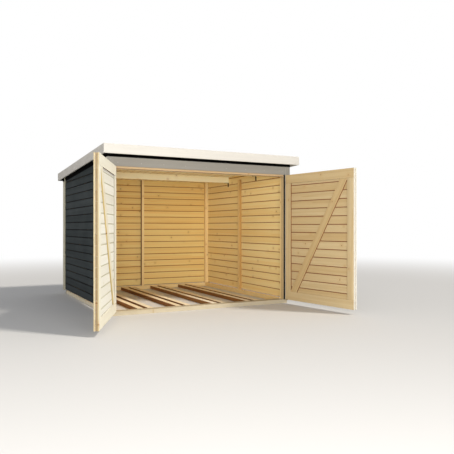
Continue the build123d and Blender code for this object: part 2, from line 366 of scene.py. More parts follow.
# Free edge of the left leaf: its frame edges darker than the face, painted shade; its board ends darker
# still, partly end grain and partly painted shade in their recess
outerEdgeShadeWood = timberFinish("outerEdgeShadeSpruce", light="bcae8c", dark="af9e78")
innerEdgeShadeWood = timberFinish("innerEdgeShadeSpruce", light="baab8a", dark="ae9d74")
boardEndGrainAndShadeWood = timberFinish("boardEndGrainAndShadeSpruce", light="9a8664", dark="8c7552")
sillWood = timberFinish(
    "sillSpruce", light="c6c1b2", dark="b3a88e", haloTint="bda782", knotTint="9c825a", splashShare=0.2)
# Outer faces of the side sills: a paler copy, painted light
sideSillLitWood = timberFinish("sideSillLitSpruce", light="f4eedb", dark="e8dfc2")
# Tracks: a paler copy on their tops, painted light, and a darker one on their sides, painted shade
trackTopLitWood = timberFinish("trackTopLitSpruce", light="fff6e2", dark="f5e8c8")
trackSideShadeWood = timberFinish("trackSideShadeSpruce", light="986834", dark="784e22")
# Painted shade: darker woods for the sides and undersides turned from the light
shadeWood = timberFinish("shadeSpruce", light="8f5f34", dark="7a4a22")
undersideShadeWood = timberFinish("undersideShadeSpruce", light="6b3a14", dark="54290c")

darkPaint = {
    "light": "494e4f", "dark": "3b4041", "toneTint": "dfe2e2", "knot": 0.25, "knotTint": "1d2020",
    "jointTint": "050506", "splash": "5a564e", "splashShare": 0.1,
    "roughness": (0.66, 0.82), "specular": 0.02,
}
palePaint = {
    "light": "dcd8cd", "dark": "d2cdbf", "toneTint": "f6f4f0", "knot": 0.18, "knotTint": "d9cba8",
    "jointTint": "b7ad98", "splash": "b3a993", "splashShare": 0.25,
    "roughness": (0.45, 0.6), "specular": 0.3,
}
wallPaint = paintFinish("anthracitePaint", darkPaint)
# Fronts of the front posts: near black, painted shade in the gap beside the leaf
postShadePaint = paintFinish("postShadePaint", darkPaint, light="121214", dark="0c0c0e")
trimPaint = paintFinish("offWhitePaint", palePaint)
# Header and the fronts of the front corner boards: a greyer copy of the trim paint, painted shade under the
# fascia
headerShadePaint = paintFinish("headerShadePaint", palePaint, light="98948a", dark="8e8980")
fasciaPaint = paintFinish("fasciaPaint", palePaint, light="ccc8bf", dark="c4bfb6")
# Back corner boards: a darker copy of the trim paint, painted shade
backTrimShadePaint = paintFinish("backTrimShadePaint", palePaint, light="c4bea6", dark="b8b196")

blackSteel = steelFinish("blackSteel", "1d1d1f", "2b2b2d", (0.38, 0.55))
angleSteel = steelFinish("angleSteel", "120d0b", "1e1815", (0.5, 0.7), specular=0.1)
screwSteel = steelFinish("screwSteel", "b9b6ae", "8f8c85", (0.28, 0.45), metallic=1.0)
paintedHead = steelFinish("paintedHead", "2a2e2f", "3a3d3d", (0.5, 0.65))
# Near black: painted shade under the eaves and on the back fascia's inner face and underside
shadeBlack = steelFinish("eavesShadeBand", "050505", "0a0a0a", (0.85, 0.95), specular=0.03)
roofFelt = feltFinish("roofFelt")
print("materials made")


# Where a leaf hangs: its closed place, and back to where it stands open
def closing(body):
    for joint in frame["joints"]:
        if joint["child"] == body:
            pin = Matrix.Translation(joint["pos_m"])
            turn = Matrix.Rotation(radians(joint["range_deg"][0]), 4, Vector(joint["axis"]))
            return pin @ turn @ pin.inverted()
    return Matrix.Identity(4)


bodies = ("root", "left_door", "right_door")
toClosed = {body: closing(body) for body in bodies}
toRest = {body: toClosed[body].inverted() for body in bodies}


def bodyOf(node):
    return frame["nodes"][node]["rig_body"]


weld = 0.00002  # corners of a mesh that are nearer to each other than this are one


def cadCopy(node):  # the node's mesh, with its loose triangles joined
    bm = bmesh.new()
    bm.from_mesh(frame["nodes"][node].data)
    bmesh.ops.remove_doubles(bm, verts=bm.verts, dist=weld)
    return bm


def closedBox(node):  # lowest and highest corner with the leaf closed
    place = toClosed[bodyOf(node)]
    points = [place @ v.co for v in frame["nodes"][node].data.vertices]
    low = Vector([min(p[i] for p in points) for i in range(3)])
    high = Vector([max(p[i] for p in points) for i in range(3)])
    return low, high


def islandOf(bm):  # each vertex's solid, as a number
    bm.verts.index_update()
    number, count = {}, 0
    for first in bm.verts:
        if first in number:
            continue
        number[first] = count
        waiting = [first]
        while waiting:
            for edge in waiting.pop().link_edges:
                for vert in edge.verts:
                    if vert not in number:
                        number[vert] = count
                        waiting.append(vert)
        count += 1
    return number, count


# Where each solid is cut from its log: metres along it, beside the pith and above it. The tone is a random
# number to this power, so that few are dark.
sawing = {"along": (0, 40), "beside": (-0.05, 0.05), "above": (0.03, 0.12), "tonePower": 1.6}
sameLength, sameArea = 1e-6, 1e-8  # an edge or face is the larger one only by more than this


def layGrain(bm):  # each solid's grain runs along its longest edge, its width across its largest face
    grain = bm.verts.layers.float_vector.new("grain")
    tone = bm.verts.layers.float.new("tone")
    number, count = islandOf(bm)
    longest, largest = [None] * count, [None] * count
    for edge in bm.edges:
        i = number[edge.verts[0]]
        if longest[i] is None or edge.calc_length() > longest[i].calc_length() + sameLength:
            longest[i] = edge
    for face in bm.faces:
        i = number[face.verts[0]]
        if largest[i] is None or face.calc_area() > largest[i].calc_area() + sameArea:
            largest[i] = face
    frames = []
    for edge, face in zip(longest, largest):
        along = (edge.verts[1].co - edge.verts[0].co).normalized()
        if along[max(range(3), key=lambda k: abs(along[k]))] < 0:
            along = -along
        normal = (face.normal - along * face.normal.dot(along)).normalized()
        frames.append((along, normal.cross(along), normal))
    middle = [Vector() for _ in range(count)]
    size = [0] * count
    for vert, i in number.items():
        middle[i] += vert.co
        size[i] += 1
    ways = ("along", "beside", "above")
    shifts = [Vector([random.uniform(*sawing[way]) for way in ways]) for _ in range(count)]
    tones = [random.random() ** sawing["tonePower"] for _ in range(count)]
    for vert, i in number.items():
        offset = vert.co - middle[i] / size[i]
        vert[grain] = Vector([offset.dot(axis) for axis in frames[i]]) + shifts[i]
        vert[tone] = tones[i]


def putPiece(name, bm, body, materials, replaced=(), smooth=None):
    mesh = bpy.data.meshes.new(name)
    bm.to_mesh(mesh)
    bm.free()
    for material in materials:
        mesh.materials.append(material)
    if smooth:
        mesh.shade_smooth()
        mesh.set_sharp_from_angle(angle=radians(smooth))
    piece = bpy.data.objects.new(name, mesh)
    scene.collection.objects.link(piece)
    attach(piece, body)
    if replaced:
        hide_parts(*replaced)
    return piece


def easeEdges(bm, width, segments=2, angle=30.0):
    sharp = [e for e in bm.edges if e.is_manifold and e.calc_face_angle() > radians(angle)]
    bmesh.ops.bevel(bm, geom=sharp, offset=width, offset_type="OFFSET", segments=segments, profile=0.5,
                    affect="EDGES", clamp_overlap=True, material=-1)


# Solid timbers that keep the CAD shape: the finish by the record's slot, and how far the edges are eased
timbers = {
    "sill_wood": (sillWood, 0.003),
    # Tracks take the darker side wood: painted shade
    "batten_wood": (trackSideShadeWood, 0.003),
    "frame_wood": (frameWood, 0.003),
    "door_frame": (doorWood, 0.0025),
    "door_trim": (trimPaint, 0.0025),
    "white_trim": (trimPaint, 0.0025),
    "white_fascia": (fasciaPaint, 0.0025),
}
# Own finishes for single pieces; most are lighter or darker copies that paint light or shade
ownFinish = {
    "front_beam": beamShadeWood, "purlin_front": purlinLitWood, "purlin_back": purlinLitWood,
    "header_board": headerShadePaint, "sill_left": sideSillLitWood, "sill_right": sideSillLitWood,
    "corner_trim_back_left": backTrimShadePaint, "corner_trim_back_right": backTrimShadePaint,
    "left_door_inner_rails": sunlitFrameWood, "left_door_inner_stiles": sunlitFrameWood,
}
toLeft, toRight = Vector((-1, 0, 0)), Vector((1, 0, 0))
toFront, toBack = Vector((0, -1, 0)), Vector((0, 1, 0))
toGround, toSky = Vector((0, 0, -1)), Vector((0, 0, 1))
turnedEnough = 0.5  # the least share of a face's normal that way, for the face to be turned that way
anywhere, freeEdge = -10.0, -0.01  # the least distance that way: any face, or the leaf's free edge alone
# These finishes mostly paint light or shade by the way a face turns: dark fronts, sides and undersides are
# painted shade, pale or white edges and tops are painted light
facings = {  # for the faces turned one way with the leaf closed: the way, the finish, the least distance
    "front_left_post": [(toFront, postShadePaint, anywhere)],
    # The right post's inner face gets the darker door wood: painted shade
    "front_right_post": [(toFront, postShadePaint, anywhere), (toLeft, doorWood, anywhere)],
    "sill_left": [(toRight, frameWood, anywhere)],
    "sill_right": [(toLeft, frameWood, anywhere), (toSky, frameWood, anywhere)],
    "sill_back": [(toFront, frameWood, anywhere)],
    "corner_trim_front_left": [(toFront, headerShadePaint, anywhere)],
    "corner_trim_front_right": [(toFront, headerShadePaint, anywhere)],
    "front_beam": [(toGround, undersideShadeWood, anywhere)],
    # Back fascia's inner face and underside near black: painted shade
    "fascia_back": [(toFront, shadeBlack, anywhere), (toGround, shadeBlack, anywhere)],
    "back_wall_stud": [(toLeft, undersideShadeWood, anywhere)],
    "right_wall_studs": [(toFront, studShadeWood, anywhere)],
    # The right leaf's free edges white: painted light where the sun catches them
    "right_door_inner_rails": [(toGround, undersideShadeWood, anywhere), (toLeft, trimPaint, freeEdge)],
    "right_door_inner_stiles": [(toLeft, shadeWood, anywhere), (toLeft, trimPaint, freeEdge)],
    "right_door_brace": [(toLeft, shadeWood, anywhere)],
    "left_door_inner_rails": [(toGround, undersideShadeWood, anywhere), (toRight, innerEdgeShadeWood, freeEdge)],
    "left_door_inner_stiles": [(toRight, innerEdgeShadeWood, freeEdge)],
    "left_door_brace": [(toBack, sunlitFrameWood, anywhere), (toRight, braceShadeWood, anywhere)],
    "left_door_outer_rails": [(toRight, outerEdgeShadeWood, freeEdge)],
    "left_door_outer_stiles": [(toRight, outerEdgeShadeWood, freeEdge)],
}
# Track tops get the paler wood: painted light
trackFacing = [(toSky, trackTopLitWood, anywhere)]
flatWithin = 0.01  # two faces that turn less than this, in radians, are one


def timberPiece(node, finish, ease, faced):
    bm = cadCopy(node)
    bmesh.ops.dissolve_limit(bm, angle_limit=flatWithin, verts=bm.verts, edges=bm.edges)
    easeEdges(bm, ease)
    layGrain(bm)
    place = toClosed[bodyOf(node)]
    for face in bm.faces:
        normal = place.to_3x3() @ face.normal
        middle = place @ face.calc_center_median()
        for i, (way, _, least) in enumerate(faced):
            if normal.dot(way) > turnedEnough and middle.dot(way) > least:
                face.material_index = i + 1
    materials = [finish] + [other for _, other, _ in faced]
    return putPiece(f"{node}_timber", bm, bodyOf(node), materials, [node])


for part in frame["record"]["subparts"]:
    node, slot = part["node"], part["material_slot"]
    if slot in timbers:
        finish, ease = timbers[slot]
        faced = trackFacing if slot == "batten_wood" else facings.get(node, [])
        timberPiece(node, ownFinish.get(node, finish), ease, faced)
print("timbers dressed")

# Profile boards: tongue and groove, V-joint outside, a finer one inside; a groove is its width and depth
boards = {
    "pitch": 0.111, "outerGroove": (0.014, 0.006), "innerGroove": (0.012, 0.005), "seam": 0.0004,
    "tongue": 0.007, "tongueShare": (0.40, 0.62), "slack": 0.0003, "doorJointFromTop": 0.157,
    "drift": 0.0004, "endDrift": 0.0008, "cutWithin": 0.00001,
    "lipShade": 0.9,  # how dark a joint is at its lip, next to 1 at its bottom
}
boardFaces = {"outside": 0.3, "end": 0.9, "chamfer": 0.2}  # the least share of a face's normal that way


def boardSection(thickness):  # (across, up) from the inner face, anticlockwise seen from the board's start
    outerHalf, outerDeep = boards["outerGroove"][0] / 2, boards["outerGroove"][1]
    innerHalf, innerDeep = boards["innerGroove"][0] / 2, boards["innerGroove"][1]
    top = boards["pitch"] - boards["seam"]
    near, far = (share * thickness for share in boards["tongueShare"])
    slack, tongue = boards["slack"], boards["tongue"]
    return [
        (0, innerHalf), (innerDeep, 0), (near - slack, 0), (near - slack, tongue + slack),
        (far + slack, tongue + slack), (far + slack, 0), (thickness - outerDeep, 0), (thickness, outerHalf),
        (thickness, top - outerHalf), (thickness - outerDeep, top), (far, top), (far, top + tongue - slack),
        (near, top + tongue - slack), (near, top), (innerDeep, top), (0, top - innerHalf),
    ]


def oneBoard(bm, section, bottom, ends, thickness):
    drift = random.uniform(0, boards["drift"])
    start = ends[0] + random.uniform(0, boards["endDrift"])
    end = ends[1] - random.uniform(0, boards["endDrift"])
    shrunk = 1 - drift / thickness
    corners = [bm.verts.new((start, across * shrunk, bottom + up)) for across, up in section]
    made = bmesh.ops.extrude_face_region(bm, geom=[bm.faces.new(corners)])
    moved = [v for v in made["geom"] if isinstance(v, bmesh.types.BMVert)]
    bmesh.ops.translate(bm, verts=moved, vec=(end - start, 0, 0))


def finishBoards(bm, materials, thickness):  # inside, outside and ends, and where the joints are
    inJoint = bm.loops.layers.float.new("joint")
    for face in bm.faces:
        normal = face.normal
        outside = normal.y > boardFaces["outside"] and len(materials) > 1
        face.material_index = 1 if outside else 0
        if abs(normal.x) > boardFaces["end"] and len(materials) > 2:
            face.material_index = 2
        chamfer = min(abs(normal.y), abs(normal.z)) > boardFaces["chamfer"]
        for loop in face.loops:
            fromFace = min(loop.vert.co.y, thickness - loop.vert.co.y)
            deep = fromFace > boards["innerGroove"][1] / 2
            loop[inJoint] = (1.0 if deep else boards["lipShade"]) if chamfer else 0.0


# Boards laid upwards from low to high, in a frame of their own: along, across from the inner face, up
def boardRun(name, node, materials, ends, heights, joint, thickness, place, cut=None):
    bm = bmesh.new()
    low, high = heights
    section = boardSection(thickness)
    bottom = joint - boards["pitch"] * int((joint - low) / boards["pitch"] + 1)
    while bottom < high:
        oneBoard(bm, section, bottom, ends, thickness)
        bottom += boards["pitch"]
    planes = [((0, 0, low), (0, 0, -1)), ((0, 0, high), (0, 0, 1))] + ([cut] if cut else [])
    for point, normal in planes:
        everything = bm.verts[:] + bm.edges[:] + bm.faces[:]
        bmesh.ops.bisect_plane(bm, geom=everything, dist=boards["cutWithin"], plane_co=point,
                               plane_no=normal, clear_outer=True)
        bmesh.ops.holes_fill(bm, edges=[e for e in bm.edges if e.is_boundary], sides=0)
    bmesh.ops.recalc_face_normals(bm, faces=bm.faces)
    finishBoards(bm, materials, thickness)
    layGrain(bm)
    bm.transform(place)
    bmesh.ops.recalc_face_normals(bm, faces=bm.faces)
    return putPiece(name, bm, bodyOf(node), materials, [node])


def axes(along, across, up, origin):  # a matrix from those directions
    columns = [Vector(v).to_4d() for v in (along, across, up, origin)]
    for i in range(3):
        columns[i][3] = 0
    return Matrix(columns).transposed()


# The roof's own frame: across, down the slope, square to the deck
def roofPlace():
    normals = [p.normal * p.area for p in frame["nodes"]["roof_cover"].data.polygons]
    normal = max(normals, key=lambda n: n.z)
    fall = atan2(normal.y, normal.z)
    points = [v.co for v in frame["nodes"]["roof_deck"].data.vertices]
    turn = Matrix.Rotation(-fall, 4, "X")
    under = min((turn.inverted() @ p).z for p in points)
    return turn @ Matrix.Translation((0, 0, under)), fall


roof, roofFall = roofPlace()
roofUp = (roof.to_3x3() @ Vector((0, 0, 1))).normalized()
roofUnder = roof.translation
print("roof falls", round(degrees(roofFall), 2), "degrees to the back")


def roofBox(node):
    points = [roof.inverted() @ v.co for v in frame["nodes"][node].data.vertices]
    return [Vector([pick(p[i] for p in points) for i in range(3)]) for pick in (min, max)]


for side, sign, bare in (("left", -1, insideWood), ("right", 1, rightWallLitWood)):
    node = f"{side}_wall"
    low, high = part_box(node)
    inner = low.x if sign > 0 else high.x
    place = axes((0, 1, 0), (sign, 0, 0), (0, 0, 1), (inner, 0, 0))
    into = place.inverted()
    boardRun(f"{node}_boarding", node, [bare, wallPaint], (low.y, high.y), (low.z, high.z),
             low.z + boards["pitch"], high.x - low.x, place, (into @ roofUnder, into.to_3x3() @ roofUp))

low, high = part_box("back_wall")
place = axes((1, 0, 0), (0, 1, 0), (0, 0, 1), (0, low.y, 0))
boardRun("back_wall_boarding", "back_wall", [insideWood, wallPaint], (low.x, high.x),
         (low.z, high.z), low.z + boards["pitch"], high.y - low.y, place,
         (place.inverted() @ roofUnder, roofUp))

# Board ends: white on the right leaf, painted light; darker on the left leaf, partly end grain and partly
# painted shade
for side, bare, edge in (("left", sunlitDoorWood, boardEndGrainAndShadeWood), ("right", doorWood, trimPaint)):
    node = f"{side}_door_boards"
    low, high = closedBox(node)
    place = toRest[f"{side}_door"] @ axes((1, 0, 0), (0, -1, 0), (0, 0, 1), (0, high.y, 0))
    boardRun(f"{side}_door_boarding", node, [bare, wallPaint, edge], (low.x, high.x),
             (low.z, high.z), high.z - boards["doorJointFromTop"], high.y - low.y, place)

low, high = roofBox("roof_deck")  # deck boards run down the slope, their joints across the shed
place = roof @ axes((0, 1, 0), (0, 0, 1), (1, 0, 0), (0, 0, low.z))
boardRun("roof_deck_boarding", "roof_deck", [deckLitWood], (low.y, high.y), (low.x, high.x),
         high.x - boards["pitch"], high.z - low.z, place)
print("boards laid")


# Roof felt: three lengths across the slope, each lapped over the one below it, on two crossing ripples
felt = {
    "thickness": 0.0025, "lengths": 3, "lap": 0.085, "rise": 0.03, "cell": (0.06, 0.03),
    "wave": 0.0012, "ripples": ((5.1, 1.7), (-2.2, 9.3)),
}


def feltSheet(bm, low, high, base, lapFrom):
    width, length = high.x - low.x, high.y - low.y
    steps = int(width / felt["cell"][0]), int(length / felt["cell"][1])
    middle = ((low.x + high.x) / 2, (low.y + high.y) / 2, base)
    place = axes((width, 0, 0), (0, length, 0), (0, 0, 1), middle)
    laid = len(bm.faces)
    made = bmesh.ops.create_grid(bm, x_segments=steps[0], y_segments=steps[1], size=0.5, matrix=place)
    for vert in made["verts"]:
        x, y = vert.co.x, vert.co.y
        over = min(max((y - lapFrom) / felt["rise"], 0), 1)
        ripple = sum(sin(across * x + down * y) for across, down in felt["ripples"])
        wave = 0.5 + 0.25 * ripple  # from 0 to 1
        vert.co.z += over * over * (3 - 2 * over) * felt["thickness"] + wave * felt["wave"]
    bmesh.ops.solidify(bm, geom=list(bm.faces)[laid:], thickness=felt["thickness"])


def roofCovering():
    low, high = roofBox("roof_cover")
    bm = bmesh.new()
    span = (high.y - low.y) / felt["lengths"]
    for i in range(felt["lengths"]):
        start, end = low.y + i * span, low.y + (i + 1) * span
        over = felt["lap"] if i < felt["lengths"] - 1 else 0
        feltSheet(bm, Vector((low.x, start, 0)), Vector((high.x, end + over, 0)), low.z, end - felt["rise"])
    bmesh.ops.recalc_face_normals(bm, faces=bm.faces)
    bm.transform(roof)
    return putPiece("roof_felt", bm, "root", [roofFelt], ["roof_cover"], smooth=40)


roofCovering()
print("roof covered")

# Steel: the hinges, the handle and the angles under the purlins, their arrises just broken
steelwork = {"black_steel": (blackSteel, 0.0006), "dark_steel": (angleSteel, 0.0004)}
steelFlatWithin = 0.001
steelSharp = 40.0  # degrees, past which an arris is broken
for part in frame["record"]["subparts"]:
    node, slot = part["node"], part["material_slot"]
    if slot in steelwork:
        finish, ease = steelwork[slot]
        bm = cadCopy(node)
        bmesh.ops.dissolve_limit(bm, angle_limit=steelFlatWithin, verts=bm.verts, edges=bm.edges)
        easeEdges(bm, ease, 1, steelSharp)
        putPiece(f"{node}_steel", bm, bodyOf(node), [finish], [node], smooth=35)
print("steelwork dressed")

# Eaves: a near-black strip turned down over the head of the walls, painted shade as a dark band under the
# fascias
eaves = {"deep": 0.074, "thick": 0.0025, "belowDeck": 0.0005}


def eavesRuns():  # (left, right, front, back) of each strip, round the shed
    trimLow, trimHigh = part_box("corner_trim_front_right")
    backLow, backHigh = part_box("corner_trim_back_right")
    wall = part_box("right_wall")[1].x
    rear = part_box("back_wall")[1].y
    thick, half = eaves["thick"], trimHigh.x
    runs = [
        (-half - thick, half + thick, trimLow.y - thick, trimLow.y),
        (-trimLow.x, trimLow.x, rear, rear + thick),
    ]
    sides = [(half, trimLow.y, trimHigh.y), (wall, trimHigh.y, backLow.y), (half, backLow.y, backHigh.y)]
    for sign in (-1, 1):
        for x, start, end in sides:
            near, far = sorted((sign * x, sign * (x + thick)))
            runs.append((near, far, start, end))
        near, far = sorted((sign * trimLow.x, sign * (half + thick)))
        runs.append((near, far, backHigh.y, backHigh.y + thick))
    return runs


def eavesShadeBand():
    bm = bmesh.new()
    for left, right, start, end in eavesRuns():
        place = Matrix.Translation(((left + right) / 2, (start + end) / 2, -eaves["deep"] / 2))
        size = Matrix.Diagonal((right - left, end - start, eaves["deep"], 1))
        for vert in bmesh.ops.create_cube(bm, size=1, matrix=place @ size)["verts"]:
            under = roofUnder.z - roofUp.y / roofUp.z * (vert.co.y - roofUnder.y)
            vert.co.z += under - eaves["belowDeck"]
    putPiece("eaves_shade_band", bm, "root", [shadeBlack])


eavesShadeBand()
print("eaves closed")

# Fasteners: heads standing on the faces that they hold, joined to one piece for each body and kind. Each
# profile is a list of (share of the radius, height), from the axis below the face to the axis on top. A
# drive draws every other corner of the hole in, to this share, which gives it six points.
heads = {
    "nail": {"radius": 0.003, "steps": 8, "drive": None,
             "profile": [(0, -0.0004), (1, -0.0004), (1, 0.0002), (0.7, 0.0007), (0, 0.0009)]},
    "screw": {"radius": 0.0042, "steps": 12, "drive": 0.7,
              "profile": [(0, -0.0006), (1, -0.0006), (1, 0.0002), (0.82, 0.0006), (0.5, 0.0008),
                          (0.46, -0.0003), (0, -0.0003)]},
    "panScrew": {"radius": 0.0052, "steps": 12, "drive": 0.7,
                 "profile": [(0, -0.0005), (1, -0.0005), (1, 0.0006), (0.86, 0.0019), (0.5, 0.0026),
                             (0.45, 0.0008), (0, 0.0008)]},
    "coachBolt": {"radius": 0.0105, "steps": 20, "drive": None,
                  "profile": [(0, -0.0005), (1, -0.0005), (1, 0.0006), (0.93, 0.0018), (0.72, 0.0034),
                              (0.4, 0.0046), (0, 0.005)]},
    "clout": {"radius": 0.005, "steps": 10, "drive": None,
              "profile": [(0, -0.0012), (1, -0.0012), (1, 0.0004), (0.9, 0.0008), (0, 0.0009)]},
}
rimMargin = 0.01  # share of the radius past a hole's rim that still counts as the hole
poleWeld = 0.000001  # joins what the spin leaves on the axis


def headMesh(kind):
    look = heads[kind]
    bm = bmesh.new()
    points = [bm.verts.new((share * look["radius"], 0, rise)) for share, rise in look["profile"]]
    edges = [bm.edges.new(pair) for pair in zip(points, points[1:])]
    bmesh.ops.spin(bm, geom=points + edges, cent=(0, 0, 0), axis=(0, 0, 1), angle=2 * pi,
                   steps=look["steps"], use_merge=True)
    bmesh.ops.remove_doubles(bm, verts=bm.verts, dist=poleWeld)
    bmesh.ops.recalc_face_normals(bm, faces=bm.faces)
    if look["drive"]:
        rim = (look["profile"][-2][0] + rimMargin) * look["radius"]
        for vert in bm.verts:
            corner = round(atan2(vert.co.y, vert.co.x) / (2 * pi) * look["steps"])
            if vert.co.xy.length < rim and corner % 2:
                vert.co.xy *= look["drive"]
    mesh = bpy.data.meshes.new(kind)
    bm.to_mesh(mesh)
    bm.free()
    return mesh


def setHeads(name, body, kind, finish, places):
    one = headMesh(kind)
    bm = bmesh.new()
    for point, normal in places:
        laid = len(bm.verts)
        bm.from_mesh(one)
        bm.verts.ensure_lookup_table()
        turn = Vector(normal).to_track_quat("Z", "Y").to_matrix().to_4x4()
        place = Matrix.Translation(point) @ turn @ Matrix.Rotation(random.uniform(0, pi), 4, "Z")
        bmesh.ops.transform(bm, matrix=place, verts=bm.verts[laid:])
    bpy.data.meshes.remove(one)
    putPiece(name, bm, body, [finish], smooth=40)


def between(low, high, count):
    return [low + (high - low) * i / (count - 1) for i in range(count)]


# Two nails in each board at every stud that the corner boards leave bare, but none close under the deck
nailing = {"edge": 0.025, "bare": 0.012, "headroom": 0.02}


def underRoof(point):
    return (Vector(point) - roofUnder).dot(roofUp) < -nailing["headroom"]


def boardNails():
    trimLow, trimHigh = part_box("corner_trim_front_right")
    studLow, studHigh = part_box("right_wall_studs")
    wallLow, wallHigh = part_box("right_wall")
    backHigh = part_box("back_wall")[1]
    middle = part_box("back_wall_stud")
    sideRows = [trimHigh.y + nailing["bare"], studHigh.y - (studHigh.x - studLow.x) / 2]
    backRows = [trimLow.x - nailing["bare"], (middle[0].x + middle[1].x) / 2, nailing["bare"] - trimLow.x]
    places = []
    bottom = wallLow.z
    while bottom < wallHigh.z:
        for z in (bottom + nailing["edge"], bottom + boards["pitch"] - nailing["edge"]):
            for sign in (-1, 1):
                places += [((sign * wallHigh.x, y, z), (sign, 0, 0)) for y in sideRows]
            places += [((x, backHigh.y, z), (0, 1, 0)) for x in backRows]
        bottom += boards["pitch"]
    kept = [p for p in places if underRoof(p[0])]
    setHeads("wall_nails", "root", "nail", paintedHead, kept)


# Screws in the corner boards, the header and the fascias, clear of the hinge plates
trimScrewing = {
    "frontHeights": (0.30, 0.62, 0.94, 1.26, 1.58, 1.95),
    "sideHeights": (0.14, 0.46, 0.78, 1.10, 1.42, 1.74),
    "frontInset": 0.03, "backInset": 0.045, "rearInset": 0.015, "rearAbove": 0.05,
    "headerInset": 0.06, "headerAbove": 0.045, "fasciaInset": 0.05, "sideFasciaInset": 0.06,
    "perBoard": 9, "stagger": 0.022,
}


def staggered(low, high, i):  # above the fascia's middle and below it by turns
    return (low.z + high.z) / 2 + (trimScrewing["stagger"] if i % 2 else -trimScrewing["stagger"])


def trimScrews():
    look = trimScrewing
    frontLow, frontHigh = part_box("corner_trim_front_right")
    backLow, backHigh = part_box("corner_trim_back_right")
    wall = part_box("right_wall")[1].x
    places = []
    for sign in (-1, 1):
        for z in look["frontHeights"]:
            places.append(((sign * (frontLow.x + frontHigh.x) / 2, frontLow.y, z), (0, -1, 0)))
        for z in look["sideHeights"]:
            places.append(((sign * frontHigh.x, frontHigh.y - look["frontInset"], z), (sign, 0, 0)))
            places.append(((sign * backHigh.x, backLow.y + look["backInset"], z), (sign, 0, 0)))
            rear = (sign * (wall - look["rearInset"]), backHigh.y, z + look["rearAbove"])
            places.append((rear, (0, 1, 0)))
    low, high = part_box("header_board")
    for x in between(low.x + look["headerInset"], high.x - look["headerInset"], look["perBoard"]):
        places.append(((x, low.y, low.z + look["headerAbove"]), (0, -1, 0)))
    for node, normal in (("fascia_front", (0, -1, 0)), ("fascia_back", (0, 1, 0))):
        low, high = roofBox(node)
        y = low.y if normal[1] < 0 else high.y
        row = between(low.x + look["fasciaInset"], high.x - look["fasciaInset"], look["perBoard"])
        for i, x in enumerate(row):
            point = Vector((x, y, staggered(low, high, i)))
            places.append((roof @ point, roof.to_3x3() @ Vector(normal)))
    low, high = roofBox("fascia_right")
    row = between(low.y + look["sideFasciaInset"], high.y - look["sideFasciaInset"], look["perBoard"])
    for sign in (-1, 1):
        for i, y in enumerate(row):
            places.append((roof @ Vector((sign * high.x, y, staggered(low, high, i))), (sign, 0, 0)))
    setHeads("trim_screws", "root", "screw", screwSteel, places)


# Screws through both frames of each leaf: pairs in the rails, then one at a time along the stiles
leafScrewing = {
    "railInset": 0.03, "perRail": 5, "outerPair": 0.040, "innerPair": 0.034,  # above and below the middle
    "stileInset": 0.05, "perStile": 6,
    "fromEdge": 0.49,  # leaf's side edge to the screws in its stile, as a share of a rail's height
}


def atRest(body, places):  # from the closed leaf to where it stands open
    rest = toRest[body]
    return [(rest @ Vector(point), rest.to_3x3() @ Vector(normal)) for point, normal in places]


def leafScrews(side):
    look = leafScrewing
    body = f"{side}_door"
    low, high = closedBox(f"{side}_door_outer_rails")
    stileLow, stileHigh = closedBox(f"{side}_door_outer_stiles")
    innerFace = closedBox(f"{side}_door_inner_rails")[1].y
    aside = (high.z - stileHigh.z) * look["fromEdge"]
    rows = [(low.z + stileLow.z) / 2, (high.z + stileHigh.z) / 2]
    inset = look["stileInset"]
    alongStile = between(stileLow.z + inset, stileHigh.z - inset, look["perStile"])
    places = []
    for face, way, pair in ((low.y, -1, look["outerPair"]), (innerFace, 1, look["innerPair"])):
        normal = (0, way, 0)
        for x in between(low.x + look["railInset"], high.x - look["railInset"], look["perRail"]):
            for z in rows:
                places += [((x, face, z - pair), normal), ((x, face, z + pair), normal)]
        for x in (low.x + aside, high.x - aside):
            places += [((x, face, z), normal) for z in alongStile]
    setHeads(f"{body}_screws", body, "screw", screwSteel, atRest(body, places))


# Coach bolts along the middle of the straps, measured from the leaf's hinge side
strap = {"bolts": (0.065, 0.175, 0.285, 0.39), "thickness": 0.004, "halfWidth": 0.02}


def hingeBolts(side):
    body, sign = f"{side}_door", -1 if side == "left" else 1
    low, high = closedBox(f"{side}_door_strap_hinges")
    leaf = closedBox(f"{side}_door_outer_rails")
    root = max(abs(leaf[0].x), abs(leaf[1].x))
    face = leaf[0].y - strap["thickness"]
    heights = (low.z + strap["halfWidth"], high.z - strap["halfWidth"])
    places = [((sign * (root - x), face, z), (0, -1, 0)) for x in strap["bolts"] for z in heights]
    setHeads(f"{body}_coach_bolts", body, "coachBolt", blackSteel, atRest(body, places))


# Screws in the hinge plates and in the angles under the purlins
hingePlate = {"behindArm": 0.029, "fromEnd": (0.036, 0.012), "halfHeight": 0.05, "up": 0.036}
purlinAngle = {"thickness": 0.0025, "screws": (0.028, 0.056)}


def steelScrews():
    low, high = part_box("hinge_pintles_right")
    places = []
    for sign in (-1, 1):
        for z in (low.z + hingePlate["halfHeight"], high.z - hingePlate["halfHeight"]):
            for inset in hingePlate["fromEnd"]:
                x = sign * (high.x - inset)
                for up in (-hingePlate["up"], hingePlate["up"]):
                    places.append(((x, low.y + hingePlate["behindArm"], z + up), (0, -1, 0)))
    for node in ("purlin_front", "purlin_back"):
        low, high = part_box(node)
        y = (low.y + high.y) / 2
        wall = high.x - purlinAngle["thickness"]
        under = low.z - purlinAngle["thickness"]
        for sign in (-1, 1):
            for away in purlinAngle["screws"]:
                places.append(((sign * wall, y, low.z - away), (-sign, 0, 0)))
                places.append(((sign * (high.x - away), y, under), (0, 0, -1)))
    setHeads("steel_screws", "root", "panScrew", blackSteel, places)


# Clout nails along the felt's two sides and its lower edge
clouting = {"edge": 0.03, "top": 0.04, "corner": 0.12, "perSide": 30, "alongEaves": 27}


